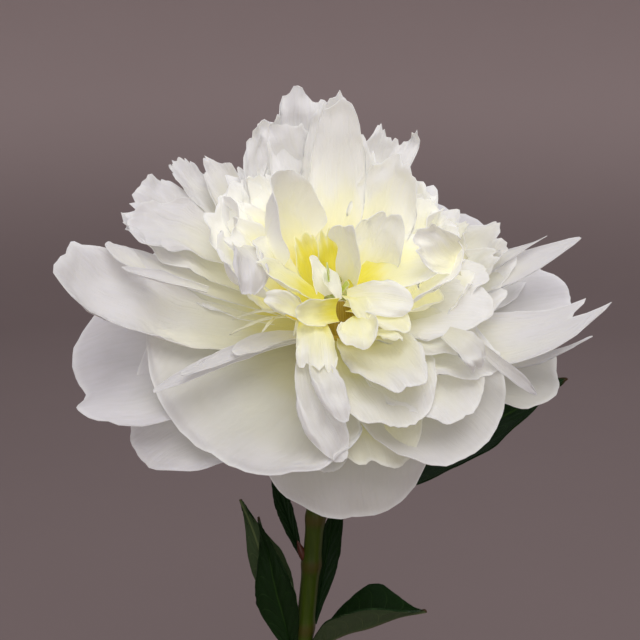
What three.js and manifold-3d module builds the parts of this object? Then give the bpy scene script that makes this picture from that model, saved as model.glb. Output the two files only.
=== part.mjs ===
// A white double peony standing in a bud vase.
// Millimetres, +Z up. The origin is the centre of the vase's flat foot, and the bloom leans to -Y.

import * as THREE from "three";
import { mergeVertices } from "three/addons/utils/BufferGeometryUtils.js";
import Module from "manifold-3d";

const wasm = await Module();
wasm.setup();
const { degToRad, smoothstep } = THREE.MathUtils;

// Driving dimensions
const CLEARANCE = 0.35;
const PETAL_THICKNESS = 0.7;
const LEAF_THICKNESS = 0.8;

const VASE_HEIGHT = 155;
const VASE_FLOOR = 6;
const VASE_WALL = 4.5;
const FOOT_RADIUS = 28;
const FOOT_FLARE = 5;
const FOOT_FLARE_HEIGHT = 9;
const BELLY_RADIUS = 39;
const BELLY_HEIGHT = 42;
const SHOULDER_RADIUS = 27;
const SHOULDER_HEIGHT = 84;
const NECK_RADIUS = 12.5;
const NECK_HEIGHT = 128;
const LIP_RADIUS = 15;
const WATER_LEVEL = 104;
const VASE_SIDES = 32;
const VASE_RINGS = 13;
const LIP_ROUNDING = 1.2;
const CORNER_RISE = 4;
const CORNER_RUN = 3;

// The stem's middle line, from the bottom of the water up to the lowest bend below the bloom
const STEM_POINTS = [
  [-6, 12, VASE_FLOOR + 0.9],
  [-3.6, 4, 80],
  [-0.9, -4.75, VASE_HEIGHT],
  [0.8, -5.5, 173.7],
  [3.4, -6.6, 201.9],
  [4.7, -7, 217.4],
  [8, -8, 241],
  [9.8, -11.4, 255.6],
];
const STEM_RADIUS = 2.8;
const STEM_SIDES = 10;
const STEM_STEPS = 37;
const NODE_HEIGHTS = [171, 178, 199.5, 215];
const NODE_RADIUS = 3.4;
const NODE_LENGTH = 8.2;
const NODE_RINGS = 6;
const BUD_NODE = 2;
const BUD_RADIUS = 1.3;
const BUD_LENGTH = 7;
const BUD_SIDES = 6;
const BUD_TILT = -0.35;
const BUD_PLACE = new THREE.Vector3(-3.2, -0.5, 5);
const HOLE_SLACK = 0.1;
const HOLE_START = -10;
const HOLE_SHARES = [0, 0.1, 0.2, 0.3, 0.4];
const HOLE_STEPS = 16;

// The heart of the bloom, and how far its axis leans forward from upright
const HEART = new THREE.Vector3(10, -40, 293);
const LEAN = degToRad(38);
const STALK_END = -37;

// Round parts on the bloom's axis, as radius and height over its heart
const ROUND_SIDES = 14;
const CORE_FOOT = -26;
const CORE_TOP = -10;
const CORE_PROFILE = [[0, CORE_FOOT], [9.6, CORE_FOOT], [10.4, -21], [9.6, -16], [7.4, -11.5], [5, CORE_TOP],
  [0, CORE_TOP]];
const CUP_FOOT = STALK_END + CLEARANCE;
const CUP_TOP = CORE_FOOT - CLEARANCE;
const CUP_PROFILE = [[0, CUP_FOOT], [3.2, CUP_FOOT], [5.6, -33], [8.4, -28.5], [8.8, CUP_TOP], [0, CUP_TOP]];
const CARPEL_PROFILE = [[0, 0], [1.9, 0], [2.1, 3], [1.1, 7], [0.7, 9.5], [0, 10.2]];
const CARPEL_SIDES = 8;
const CARPEL_BEARINGS = [90, 210, 330];
const CARPEL_TILT = 0.16;
const CARPEL_RADIUS = 1.2;
const CARPEL_FOOT = CORE_TOP + 0.8;

const WHITE = new THREE.MeshStandardMaterial({ color: 0xf3f1e6, roughness: 0.62, metalness: 0 });
const LEAF_GREEN = new THREE.MeshStandardMaterial({ color: 0x27391f, roughness: 0.42, metalness: 0 });
const STEM_GREEN = new THREE.MeshStandardMaterial({ color: 0x6f7f45, roughness: 0.5, metalness: 0 });
const SEPAL_GREEN = new THREE.MeshStandardMaterial({ color: 0x6d7c48, roughness: 0.55, metalness: 0 });
const CARPEL_GREEN = new THREE.MeshStandardMaterial({ color: 0xb4b65c, roughness: 0.5, metalness: 0 });
const GLAZE = new THREE.MeshStandardMaterial({ color: 0x9fa8a0, roughness: 0.28, metalness: 0 });
const WATER = new THREE.MeshStandardMaterial({ color: 0xc9d8d4, roughness: 0.05, metalness: 0 });

// How each kind of blade grows, as lengths in mm, shares of its length or width, and angles.
// bow lifts its middle, sway bends it sideways, cup curls its sides up, wave ruffles its edge,
// lip turns its rim up or, below zero, down, and blunt, notch and cuts shape the end.
// along and across count the steps that it is cut into.
const BLADE = {
  bow: 0, sway: 0, widest: 0.65, rootWidth: 0.22, endWidth: 0.9, cup: 0.6, roll: 0,
  wave: 1.2, lip: 0, blunt: 0.4, notch: 0, notchAt: 0, cuts: 0, along: 4, across: 4,
};
const GUARD = {
  ...BLADE, rootRadius: 7, rootHeight: -24, bow: 8, cup: 0.5, blunt: 0.45, wave: 1.5,
};
const SIDE = {
  ...BLADE, rootRadius: 6, rootHeight: -16, bow: 3, cup: 0.75, roll: -12, wave: 1,
};
const MIDDLE = {
  ...BLADE, rootRadius: 6, rootHeight: -19, bow: -2, wave: 1.6, widest: 0.7, cuts: 0.04, along: 3,
  across: 3,
};
const CROWN = {
  ...BLADE, rootRadius: 6, rootHeight: -14, bow: -4, wave: 1.6, widest: 0.75, cuts: 0.05, blunt: 0.3,
  along: 3, across: 3,
};
const SKIRT = {
  ...BLADE, rootRadius: 6, rootHeight: -14, bow: 5, endWidth: 0.82, along: 3, across: 3,
};
const INNER = {
  ...BLADE, rootRadius: 5.5, rootHeight: -12, bow: -7, cup: 0.7, wave: 0.8, along: 3, across: 3,
};
const STRAP = {
  ...BLADE, rootRadius: 6, rootHeight: -15, bow: 3, cup: 0.5, blunt: 0.5, wave: 0.5, endWidth: 0.35,
  along: 3, across: 2,
};
const HEARTLET = {
  ...BLADE, rootRadius: 5, rootHeight: -9, bow: 3, wave: 0.8, widest: 0.7, endWidth: 0.8, along: 3,
  across: 2,
};
const SEPAL = {
  ...BLADE, rootRadius: 6, rootHeight: -30, bow: 1.5, endWidth: 0.5, rootWidth: 0.6, widest: 0.45,
  wave: 0.3, width: 13, across: 3,
};
const SEPAL_BEARINGS = [20, 95, 160, 235, 305];
const SEPAL_REACHES = [22, 19];
const SEPAL_TIP_HEIGHT = -31;
const LEAF = {
  ...BLADE, widest: 0.45, rootWidth: 0.14, endWidth: 0.12, cup: 0.35, wave: 0.7, blunt: 0.45, along: 8,
};

// The shapes that all blades share: how square an end is, how wide a notch is as a share of the
// width, how far a petal's inner face looks inward, and how fast a blade swells from its root
const END_FULLNESS = 2.4;
const NOTCH_SPREAD = 0.2;
const INWARD_LOOK = 0.55;
const SWELL_POWER = 1.3;

// The teeth of a ragged end and the ripples of a margin, as the angle that each wave turns through
// over half of the width or the whole length, and where along a blade its margin begins to ripple
const TEETH = [9, 17];
const RIPPLE_DEPTH = 0.6;
const RIPPLE_ACROSS = [8.2, 4];
const RIPPLE_ALONG = [2, 7.5];
const SIDE_RIPPLE = [0.25, 0.9];
const END_RIPPLE = [0.75, 1];
const LIP_START = 0.7;
const LIP_POWER = 1.5;

// Steps of a search for a height on the stem, and how close two points are to be one
const SEARCH_STEPS = 30;
const WELD = 1e-4;

// Where each family of blades starts in the drawing of its ruffles
const PETAL_SEED = 3;
const SEPAL_SEED = 200;
const LEAF_SEED = 300;

// Petals that show, each by the place of its tip from the heart and its full width
const SHOWN_PETALS = [
  // The broad guards, from the left round the front to the right
  { ...GUARD, tip: [-77, -6, -33], width: 56, bow: 10, notch: 0.05, notchAt: 0.25 },
  { ...GUARD, tip: [-55, -30, -34], width: 46, bow: 10 },
  { ...GUARD, tip: [-37, -39, -16], width: 78, bow: 6, cup: 0.6, blunt: 0.5, wave: 0.8, lip: -3 },
  { ...GUARD, tip: [-9, -50, -15], width: 22, bow: 9, blunt: 0.5, wave: 0.8, lip: -1 },
  { ...GUARD, tip: [3, -48, -40], width: 46, bow: 9, blunt: 0.5, wave: 0.8, lip: -2 },
  { ...GUARD, tip: [38, -40, -18], width: 46, bow: 7, cup: 0.55 },
  { ...GUARD, tip: [65, -5, -31], width: 42 },
  { ...GUARD, tip: [69, 18, -21], width: 34, bow: 6 },
  // The long ones that reach out to the sides
  { ...SIDE, tip: [-75, 4, 10], width: 25, bow: -9, sway: 14, roll: -8, widest: 0.75, endWidth: 0.95,
    blunt: 0.16, rootWidth: 0.4 },
  { ...STRAP, tip: [-63, 14, 4], width: 13, endWidth: 0.7 },
  { ...MIDDLE, tip: [-56, 14, -4], width: 20, bow: 1, cuts: 0 },
  { ...STRAP, tip: [70, 21, -1], width: 15, bow: 1, widest: 0.5, blunt: 0.6 },
  { ...STRAP, tip: [60, 20, 1], width: 7, endWidth: 0.1 },
  { ...STRAP, tip: [76, 0, -5], width: 27, bow: -8, sway: -14, endWidth: 0.5, widest: 0.5, cup: 0.7,
    blunt: 0.2, notch: 0.12, notchAt: 0.2, across: 4 },
  { ...STRAP, tip: [71, -8, -10], width: 5, bow: -4, sway: -21 },
  { ...STRAP, tip: [53, -29, -9], width: 4, bow: 12, endWidth: 0.6 },
  { ...STRAP, tip: [-40, -30, 1], width: 4, bow: 5, endWidth: 1, blunt: 0.2, rootWidth: 0.7 },
  { ...STRAP, tip: [-47, -33, -2], width: 5, bow: 6, endWidth: 0.9, blunt: 0.2, rootWidth: 0.7 },
  { ...STRAP, tip: [-27, -22, 0], width: 6, bow: 4, endWidth: 1, blunt: 0.3 },
  // The ragged crown, from the left over the top to the right
  { ...CROWN, tip: [-57, 18, 11], width: 20, bow: 1 },
  { ...CROWN, tip: [-59, 26, 9], width: 26, bow: 1, blunt: 0.15 },
  { ...CROWN, tip: [-46, 40, 12], width: 10, bow: -3 },
  { ...CROWN, tip: [-37, 38, 15], width: 13, bow: -3 },
  { ...CROWN, tip: [-20, 38, 29], width: 27, bow: -7 },
  { ...CROWN, tip: [-10, 40, 38], width: 25, bow: -8, blunt: 0.2 },
  { ...CROWN, tip: [2, 38, 40], width: 22, bow: -8, blunt: 0.35, widest: 0.6 },
  { ...CROWN, tip: [18, 38, 30], width: 17, bow: -6, cup: 0.7, blunt: 0.15, notch: 0.1 },
  { ...CROWN, tip: [27, 24, 13], width: 18, bow: -5 },
  { ...CROWN, tip: [37, 17, 10], width: 16 },
  { ...CROWN, tip: [48, 17, 6], width: 17, bow: -3 },
  { ...CROWN, tip: [47, 8, 6], width: 16, bow: -2 },
  // The layered petals below and right of the heart
  { ...SKIRT, tip: [15, -48, -17], width: 30 },
  { ...SKIRT, tip: [35, -37, -5], width: 32 },
  { ...SKIRT, tip: [18, -43, -2], width: 31, bow: 6, blunt: 0.3, across: 4 },
  { ...SKIRT, tip: [19, -39, 8], width: 22, bow: 6, widest: 0.7 },
  { ...SKIRT, tip: [3, -50, -8], width: 13, bow: 8, sway: -9, widest: 0.7, endWidth: 0.8, bearing: 240 },
  { ...SKIRT, tip: [3, -46, 3], width: 10, bow: 7, sway: -3, widest: 0.6, endWidth: 0.7, across: 2,
    bearing: 250 },
  { ...SKIRT, tip: [41, -13, 7], width: 26, bow: 4 },
  { ...SKIRT, tip: [39, -6, 9], width: 24, bow: -3 },
  { ...SKIRT, tip: [43, -27, -1], width: 24 },
  // The inner crown, which stands up round the back of the heart
  { ...INNER, tip: [-33, -3, 21], width: 20, bow: -4, cuts: 0.05 },
  { ...INNER, tip: [-29, 18, 23], width: 20, bow: -5, cuts: 0.05 },
  { ...INNER, tip: [-16, 18, 30], width: 19, bow: -6, cup: 0.95 },
  { ...INNER, tip: [1, 31, 42], width: 17, bow: -6, cup: 0.5 },
  { ...INNER, tip: [18, 20, 31], width: 22, bow: -6 },
  { ...INNER, tip: [31, 3, 21], width: 20, bow: -4, cuts: 0.05 },
  { ...INNER, tip: [33, -6, 19], width: 27, bow: -3 },
  // The small yellowish ones round the heart
  { ...HEARTLET, tip: [-21, -3, 21], width: 18, bow: -2 },
  { ...HEARTLET, tip: [3, 0, 28], width: 9, bow: -3, bearing: 50 },
  { ...HEARTLET, tip: [14, 3, 27], width: 12, bow: -4, bearing: 25 },
  { ...HEARTLET, tip: [-17, -22, 16], width: 12, bow: 6 },
  { ...HEARTLET, tip: [-5, -36, 13], width: 14, bow: 8 },
  { ...HEARTLET, tip: [5, -35, 17], width: 11, bow: 8 },
  { ...HEARTLET, tip: [20, -21, 19], width: 16, bow: 6 },
];

// Whorls that close the back, each by its compass bearings, its reach and its height over the heart
const BACK_WHORLS = [
  { habit: GUARD, bearings: [38, 72, 108, 146], reach: 66, height: -24, width: 52 },
  { habit: MIDDLE, bearings: [15, 55, 90, 128, 156], reach: 54, height: -2, width: 34 },
  { habit: { ...CROWN, bow: -6 }, bearings: [68, 88, 112, 140], reach: 38, height: 20, width: 24 },
];

// Leaves, each from a petiole beside the stem to its tip. facing is where the upper face looks.
const LEAVES = [
  { ...LEAF, name: "leaf_left_front", root: [-2.6, -8.5, 169.5], tip: [-12.6, -14, 218],
    facing: [-0.3, -1, 0.2], width: 13, bow: 1 },
  { ...LEAF, name: "leaf_left_back", root: [-3.2, -5.4, 178.5], tip: [-19, -4, 220],
    facing: [-0.2, -1, 0.3], width: 12, bow: 1 },
  { ...LEAF, name: "leaf_upper_left", root: [-0.4, -5.2, 201.5], tip: [-10, 1, 236],
    facing: [0.3, -1, 0.2], width: 11, bow: -1 },
  { ...LEAF, name: "leaf_behind_stem", root: [5, -3.8, 180], tip: [13.5, 3.5, 226],
    facing: [0.3, -1, 0], width: 9, bow: -2.5 },
  { ...LEAF, name: "leaf_low_right", root: [4.6, -6.6, 172], tip: [37.5, -28, 194],
    facing: [0.1, -0.7, 0.75], width: 21, bow: 11 },
  { ...LEAF, name: "leaf_long_right", root: [8, -5.8, 216], tip: [82, 0, 258],
    facing: [-0.3, -0.6, 0.9], width: 23, bow: -12, sway: 3, wave: 1, along: 10 },
];

// Draws numbers from 0 to 1 in an order that its seed fixes.
function seededDraw(seed) {
  let state = seed * 2654435761 >>> 0;
  return () => {
    state = state + 0x6d2b79f5 >>> 0;
    let mixed = Math.imul(state ^ state >>> 15, state | 1);
    mixed ^= mixed + Math.imul(mixed ^ mixed >>> 7, mixed | 61);
    return ((mixed ^ mixed >>> 14) >>> 0) / 2 ** 32;
  };
}

// How far along its length a blade ends, for a line at `across` from -1 to 1 of its width.
function bladeEnd(blade, phases, across) {
  const round = 1 - blade.blunt * (1 - Math.sqrt(Math.max(0, 1 - Math.abs(across) ** END_FULLNESS)));
  const notch = blade.notch * Math.exp(-(((across - blade.notchAt) / NOTCH_SPREAD) ** 2));
  const [coarse, fine] = TEETH.map((turn, i) => (1 + Math.sin(turn * across + phases[i])) / 2);
  return round - notch - blade.cuts * coarse * fine;
}

// One point of a blade's middle surface, with `along` from 0 at the root to 1 at the end.
function bladePoint(blade, phases, along, across) {
  const reach = along * bladeEnd(blade, phases, across);
  const spine = blade.spine;
  const ahead = spine.getTangent(reach);
  const side = blade.side.clone().addScaledVector(ahead, -ahead.dot(blade.side)).normalize();
  side.applyAxisAngle(ahead, degToRad(blade.roll));
  const inward = new THREE.Vector3().crossVectors(ahead, side);

  const swell = Math.sin(Math.PI / 2 * Math.min(1, reach / blade.widest)) ** SWELL_POWER;
  const taper = 1 - (1 - blade.endWidth) * smoothstep(reach, blade.widest, 1);
  const halfWidth = blade.width / 2 * (blade.rootWidth + (1 - blade.rootWidth) * swell) * taper;

  const sides = across ** 2 * smoothstep(reach, ...SIDE_RIPPLE);
  const end = RIPPLE_DEPTH * smoothstep(reach, ...END_RIPPLE);
  const [first, second] = [0, 1].map((i) => (
    Math.sin(RIPPLE_ACROSS[i] * across + RIPPLE_ALONG[i] * reach + phases[2 + i])
  ));
  const lift = halfWidth * (1 - Math.cos(blade.cup * across)) / blade.cup
    + blade.wave * RIPPLE_DEPTH * (sides + end) * (first + second)
    + blade.lip * smoothstep(reach, LIP_START, 1) ** LIP_POWER;
  return spine.getPoint(reach)
    .addScaledVector(side, halfWidth * Math.sin(blade.cup * across) / blade.cup)
    .addScaledVector(inward, lift);
}

// A closed solid from a blade's middle surface, split into triangles alike on both faces.
function bladeGeometry(blade, thickness, seed) {
  const draw = seededDraw(seed);
  const phases = [0, 1, 2, 3].map(() => 2 * Math.PI * draw());
  const columns = blade.across + 1;
  const count = columns * (blade.along + 1);
  const middle = [];
  for (let row = 0; row <= blade.along; row += 1) {
    for (let column = 0; column < columns; column += 1) {
      const across = 2 * column / blade.across - 1;
      middle.push(bladePoint(blade, phases, row / blade.along, across));
    }
  }

  const top = [];
  for (let row = 0; row < blade.along; row += 1) {
    for (let column = 0; column < blade.across; column += 1) {
      const corner = row * columns + column;
      const next = corner + columns;
      top.push(corner, corner + 1, next + 1, corner, next + 1, next);
    }
  }
  const sheet = new THREE.BufferGeometry().setFromPoints(middle);
  sheet.setIndex(top);
  sheet.computeVertexNormals();
  const normals = sheet.getAttribute("normal");
  const half = middle.map((_, i) => new THREE.Vector3().fromBufferAttribute(normals, i)
    .multiplyScalar(thickness / 2));
  const faces = [
    ...middle.map((point, i) => point.clone().add(half[i])),
    ...middle.map((point, i) => point.clone().sub(half[i])),
  ];

  const rim = [];
  for (let column = 0; column < columns; column += 1) {
    rim.push(column);
  }
  for (let row = 1; row <= blade.along; row += 1) {
    rim.push(row * columns + blade.across);
  }
  for (let column = blade.across - 1; column >= 0; column -= 1) {
    rim.push(blade.along * columns + column);
  }
  for (let row = blade.along - 1; row >= 1; row -= 1) {
    rim.push(row * columns);
  }

  const index = [...top];
  for (let i = 0; i < top.length; i += 3) {
    index.push(top[i] + count, top[i + 2] + count, top[i + 1] + count);
  }
  rim.forEach((here, i) => {
    const there = rim[(i + 1) % rim.length];
    index.push(here, here + count, there + count, here, there + count, there);
  });
  const solid = new THREE.BufferGeometry().setFromPoints(faces);
  solid.setIndex(index);
  return solid;
}

// Gives a blade its spine from root to tip, bowed towards the side that `facing` looks to.
function withSpine(blade, root, tip, facing) {
  const chord = tip.clone().sub(root).normalize();
  const up = facing.clone().addScaledVector(chord, -chord.dot(facing)).normalize();
  const side = new THREE.Vector3().crossVectors(up, chord);
  const bend = root.clone().lerp(tip, 0.5).addScaledVector(up, blade.bow).addScaledVector(side, blade.sway);
  return { ...blade, side, spine: new THREE.QuadraticBezierCurve3(root, bend, tip) };
}

// A point at a distance from the bloom's axis, by its compass bearing and its height over the heart.
function roundAxis(bearing, radius, height) {
  const angle = degToRad(bearing);
  return new THREE.Vector3(radius * Math.cos(angle), radius * Math.sin(angle), height);
}

// A petal or sepal grows from a ring round the bloom's axis, and its inner face looks to that axis.
// Its root stands below its tip unless it has a bearing of its own.
function petalOnRing(petal) {
  const tip = new THREE.Vector3(...petal.tip);
  const bearing = petal.bearing ?? THREE.MathUtils.radToDeg(Math.atan2(tip.y, tip.x));
  const root = roundAxis(bearing, petal.rootRadius, petal.rootHeight);
  const facing = new THREE.Vector3(0, 0, 1).sub(roundAxis(bearing, INWARD_LOOK, 0));
  return withSpine(petal, root, tip, facing);
}

function latheGeometry(profile, sides) {
  const points = profile.map(([radius, height]) => new THREE.Vector2(radius, height));
  return new THREE.LatheGeometry(points, sides).rotateX(Math.PI / 2);
}

function toManifold(geometry) {
  const bare = geometry.clone();
  bare.deleteAttribute("normal");
  bare.deleteAttribute("uv");
  const merged = mergeVertices(bare, WELD);
  return new wasm.Manifold(new wasm.Mesh({
    numProp: 3,
    vertProperties: new Float32Array(merged.getAttribute("position").array),
    triVerts: new Uint32Array(merged.getIndex().array),
  }));
}

// The biggest body of a fused solid, without loose scraps.
function toGeometry(solid) {
  const body = solid.decompose().reduce((best, piece) => (piece.volume() > best.volume() ? piece : best));
  const mesh = body.getMesh();
  const geometry = new THREE.BufferGeometry();
  geometry.setAttribute("position", new THREE.BufferAttribute(new Float32Array(mesh.vertProperties), 3));
  geometry.setIndex(new THREE.BufferAttribute(new Uint32Array(mesh.triVerts), 1));
  return geometry;
}

function fuse(geometries) {
  return geometries.map(toManifold).reduce((sum, solid) => sum.add(solid));
}

function namedMesh(name, geometry, material) {
  const mesh = new THREE.Mesh(geometry, material);
  mesh.name = name;
  return mesh;
}

// The vase's outer wall from the foot to the lip, as radius and height
function vaseWall() {
  const curve = new THREE.SplineCurve([
    new THREE.Vector2(FOOT_RADIUS, 0),
    new THREE.Vector2(FOOT_RADIUS + FOOT_FLARE, FOOT_FLARE_HEIGHT),
    new THREE.Vector2(BELLY_RADIUS, BELLY_HEIGHT),
    new THREE.Vector2(SHOULDER_RADIUS, SHOULDER_HEIGHT),
    new THREE.Vector2(NECK_RADIUS, NECK_HEIGHT),
    new THREE.Vector2(LIP_RADIUS, VASE_HEIGHT - LIP_ROUNDING),
  ]);
  return curve.getPoints(VASE_RINGS).map((point) => [point.x, point.y]);
}

// The vase's inside from the corner of its floor up to a level, as radius and height
function vaseInside(level, inset) {
  const wall = vaseWall().map(([radius, height]) => [radius - VASE_WALL, height]);
  const start = wall.findIndex(([, height]) => height > VASE_FLOOR + CORNER_RISE);
  const above = wall.findIndex(([, height]) => height >= level);
  const share = (level - wall[above - 1][1]) / (wall[above][1] - wall[above - 1][1]);
  const radiusThere = wall[above - 1][0] + share * (wall[above][0] - wall[above - 1][0]);
  return [
    [wall[start][0] - CORNER_RUN, VASE_FLOOR + inset],
    ...wall.slice(start, above),
    [radiusThere, level],
  ].map(([radius, height]) => [radius - inset, height]);
}

function buildVase() {
  const rim = VASE_HEIGHT - LIP_ROUNDING;
  const inside = vaseInside(rim, 0).reverse();
  const profile = [
    [0, 0],
    ...vaseWall(),
    [LIP_RADIUS - LIP_ROUNDING, VASE_HEIGHT],
    [inside[0][0] + LIP_ROUNDING, VASE_HEIGHT],
    ...inside,
    [0, VASE_FLOOR],
  ];
  return namedMesh("vase", latheGeometry(profile, VASE_SIDES), GLAZE);
}

const stemPath = new THREE.CatmullRomCurve3([
  ...STEM_POINTS.map((place) => new THREE.Vector3(...place)),
  bloomPlace(new THREE.Vector3(0, 0, STALK_END)),
]);

// Where a point of the bloom's own frame lies in the object's frame.
function bloomPlace(point) {
  return point.applyAxisAngle(new THREE.Vector3(1, 0, 0), LEAN).add(HEART);
}

function tubeAlong(path, radius, steps) {
  const section = new THREE.Shape();
  const corners = [];
  for (let i = 0; i < STEM_SIDES; i += 1) {
    const angle = 2 * Math.PI * i / STEM_SIDES;
    corners.push(new THREE.Vector2(radius * Math.cos(angle), radius * Math.sin(angle)));
  }
  section.setFromPoints(corners);
  return new THREE.ExtrudeGeometry(section, { steps, extrudePath: path, bevelEnabled: false });
}

// The point of the stem's middle line at a height.
function stemAt(height) {
  let low = 0;
  let high = 1;
  for (let i = 0; i < SEARCH_STEPS; i += 1) {
    const middle = (low + high) / 2;
    if (stemPath.getPoint(middle).z < height) {
      low = middle;
    } else {
      high = middle;
    }
  }
  return stemPath.getPoint(low);
}

function buildStem() {
  const stalk = tubeAlong(stemPath, STEM_RADIUS, STEM_STEPS);
  const swellings = NODE_HEIGHTS.map((height) => {
    const place = stemAt(height);
    return new THREE.SphereGeometry(1, STEM_SIDES, NODE_RINGS)
      .rotateX(Math.PI / 2)
      .scale(NODE_RADIUS, NODE_RADIUS, NODE_LENGTH / 2)
      .translate(place.x, place.y, place.z);
  });
  const axil = stemAt(NODE_HEIGHTS[BUD_NODE]).add(BUD_PLACE);
  const bud = new THREE.ConeGeometry(BUD_RADIUS, BUD_LENGTH, BUD_SIDES)
    .rotateX(Math.PI / 2)
    .rotateY(BUD_TILT)
    .translate(axil.x, axil.y, axil.z);
  return namedMesh("stem", toGeometry(fuse([stalk, ...swellings, bud])), STEM_GREEN);
}

// The water round the stem, with a hole for it that starts below the stem's end.
function buildWater() {
  const side = vaseInside(WATER_LEVEL, CLEARANCE);
  const profile = [[0, VASE_FLOOR + CLEARANCE], ...side, [0, WATER_LEVEL]];
  const filled = toManifold(latheGeometry(profile, VASE_SIDES));
  const path = new THREE.CatmullRomCurve3([
    stemPath.getPoint(0).addScaledVector(stemPath.getTangent(0), HOLE_START),
    ...HOLE_SHARES.map((share) => stemPath.getPoint(share)),
  ]);
  const hole = toManifold(tubeAlong(path, STEM_RADIUS + CLEARANCE + HOLE_SLACK, HOLE_STEPS));
  return namedMesh("water", toGeometry(filled.subtract(hole)), WATER);
}

function buildCalyx() {
  const cup = latheGeometry(CUP_PROFILE, ROUND_SIDES);
  const sepals = SEPAL_BEARINGS.map((bearing, i) => {
    const reach = SEPAL_REACHES[i % SEPAL_REACHES.length];
    const tip = roundAxis(bearing, reach, SEPAL_TIP_HEIGHT).toArray();
    return bladeGeometry(petalOnRing({ ...SEPAL, tip }), LEAF_THICKNESS, SEPAL_SEED + i);
  });
  return namedMesh("calyx", toGeometry(fuse([cup, ...sepals])), SEPAL_GREEN);
}

function buildCarpels() {
  const carpels = CARPEL_BEARINGS.map((bearing) => {
    const foot = roundAxis(bearing, CARPEL_RADIUS, CARPEL_FOOT);
    return latheGeometry(CARPEL_PROFILE, CARPEL_SIDES)
      .rotateY(CARPEL_TILT)
      .rotateZ(degToRad(bearing))
      .translate(foot.x, foot.y, foot.z);
  });
  return namedMesh("carpels", toGeometry(fuse(carpels)), CARPEL_GREEN);
}

function buildBloom() {
  const core = latheGeometry(CORE_PROFILE, ROUND_SIDES);
  const backPetals = BACK_WHORLS.flatMap(({ habit, bearings, reach, height, width }) => (
    bearings.map((bearing) => ({ ...habit, tip: roundAxis(bearing, reach, height).toArray(), width }))
  ));
  const petals = [...SHOWN_PETALS, ...backPetals].map((petal, i) => (
    bladeGeometry(petalOnRing(petal), PETAL_THICKNESS, PETAL_SEED + i)
  ));
  return namedMesh("bloom", toGeometry(fuse([core, ...petals])), WHITE);
}

function buildLeaf(leaf, i) {
  const [root, tip, facing] = [leaf.root, leaf.tip, leaf.facing].map((place) => new THREE.Vector3(...place));
  const blade = withSpine(leaf, root, tip, facing);
  return namedMesh(leaf.name, bladeGeometry(blade, LEAF_THICKNESS, LEAF_SEED + i), LEAF_GREEN);
}

const head = new THREE.Group();
head.position.copy(HEART);
head.rotation.x = LEAN;
head.add(buildCalyx(), buildCarpels(), buildBloom());

const group = new THREE.Group();
group.add(buildVase(), buildWater(), buildStem(), head, ...LEAVES.map(buildLeaf));

export default group;
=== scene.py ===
# %% [markdown]
# # A white peony in a bud vase
# The CAD frame holds every piece at its real size and place, the bloom as about seventy plain petals.
# This lesson dresses it. Petals and leaves are all blades, so one formula bends a flat grid into each of
# them. Every finer piece rides on the frame's one body, root, and hides the CAD solid that it stands for.

# %% Load the frame
import random
from math import atan2, cos, degrees, exp, pi, radians, sin, sqrt, tau

import bmesh
import bpy
from mathutils import Matrix, Vector, noise


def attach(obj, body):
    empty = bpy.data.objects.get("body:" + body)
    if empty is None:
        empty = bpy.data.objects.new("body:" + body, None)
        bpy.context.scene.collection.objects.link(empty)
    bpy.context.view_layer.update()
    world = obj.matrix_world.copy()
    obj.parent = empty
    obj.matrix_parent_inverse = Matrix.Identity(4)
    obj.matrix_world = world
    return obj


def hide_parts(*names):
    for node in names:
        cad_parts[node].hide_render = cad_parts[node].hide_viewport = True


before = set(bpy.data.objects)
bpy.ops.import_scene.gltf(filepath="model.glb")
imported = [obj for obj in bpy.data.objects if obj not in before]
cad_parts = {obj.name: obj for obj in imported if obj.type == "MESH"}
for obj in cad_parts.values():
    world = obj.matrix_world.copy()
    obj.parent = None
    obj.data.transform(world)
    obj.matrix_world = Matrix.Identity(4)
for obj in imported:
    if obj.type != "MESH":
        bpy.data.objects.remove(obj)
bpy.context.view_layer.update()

MM = 0.001
CM = 0.01
print("CAD pieces:", ", ".join(sorted(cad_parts)))

# %% [markdown]
# ## The camera
# The photograph looks at the open bloom from a little above. Its scale is fixed at the heart of the
# bloom, from which every petal is placed, so the camera is worked out from the heart and not set by eye.
# The Standard view transform leaves white petals white, where a filmic one would grey them.

# %% Camera
HEART = Vector((10, -40, 293)) * MM
HEART_PIXEL = (335, 290)
PICTURE_PIXELS = 640
PICTURE_WIDTH = 174 * MM
EYE_DISTANCE = 350 * MM
EYE_RISE = radians(12)
SENSOR_WIDTH = 36

to_eye = Vector((0, -cos(EYE_RISE), sin(EYE_RISE)))
picture_up = Vector((0, sin(EYE_RISE), cos(EYE_RISE)))
pixel = PICTURE_WIDTH / PICTURE_PIXELS
middle = HEART + Vector((1, 0, 0)) * (PICTURE_PIXELS / 2 - HEART_PIXEL[0]) * pixel
middle += picture_up * (HEART_PIXEL[1] - PICTURE_PIXELS / 2) * pixel

camera_data = bpy.data.cameras.new("photo_view")
camera_data.sensor_width = SENSOR_WIDTH
camera_data.lens = SENSOR_WIDTH * EYE_DISTANCE / PICTURE_WIDTH
camera_data.clip_start = 10 * MM
camera = bpy.data.objects.new("photo_view", camera_data)
camera.location = middle + to_eye * EYE_DISTANCE
camera.rotation_euler = (pi / 2 - EYE_RISE, 0, 0)
bpy.context.scene.collection.objects.link(camera)
bpy.context.scene.camera = camera
bpy.context.scene.view_settings.view_transform = "Standard"
print(f"camera at {tuple(round(c, 3) for c in camera.location)}, lens {camera_data.lens:.1f} mm")

# %% [markdown]
# ## Finishes as arithmetic
# A finish is a network of nodes, but written out socket by socket it hides its own idea. A small class
# wraps a node's output and lets Python's own signs make the Math nodes, so a mask can be written as
# `1 - along`. One method makes every other node from its type, values and settings.

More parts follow.
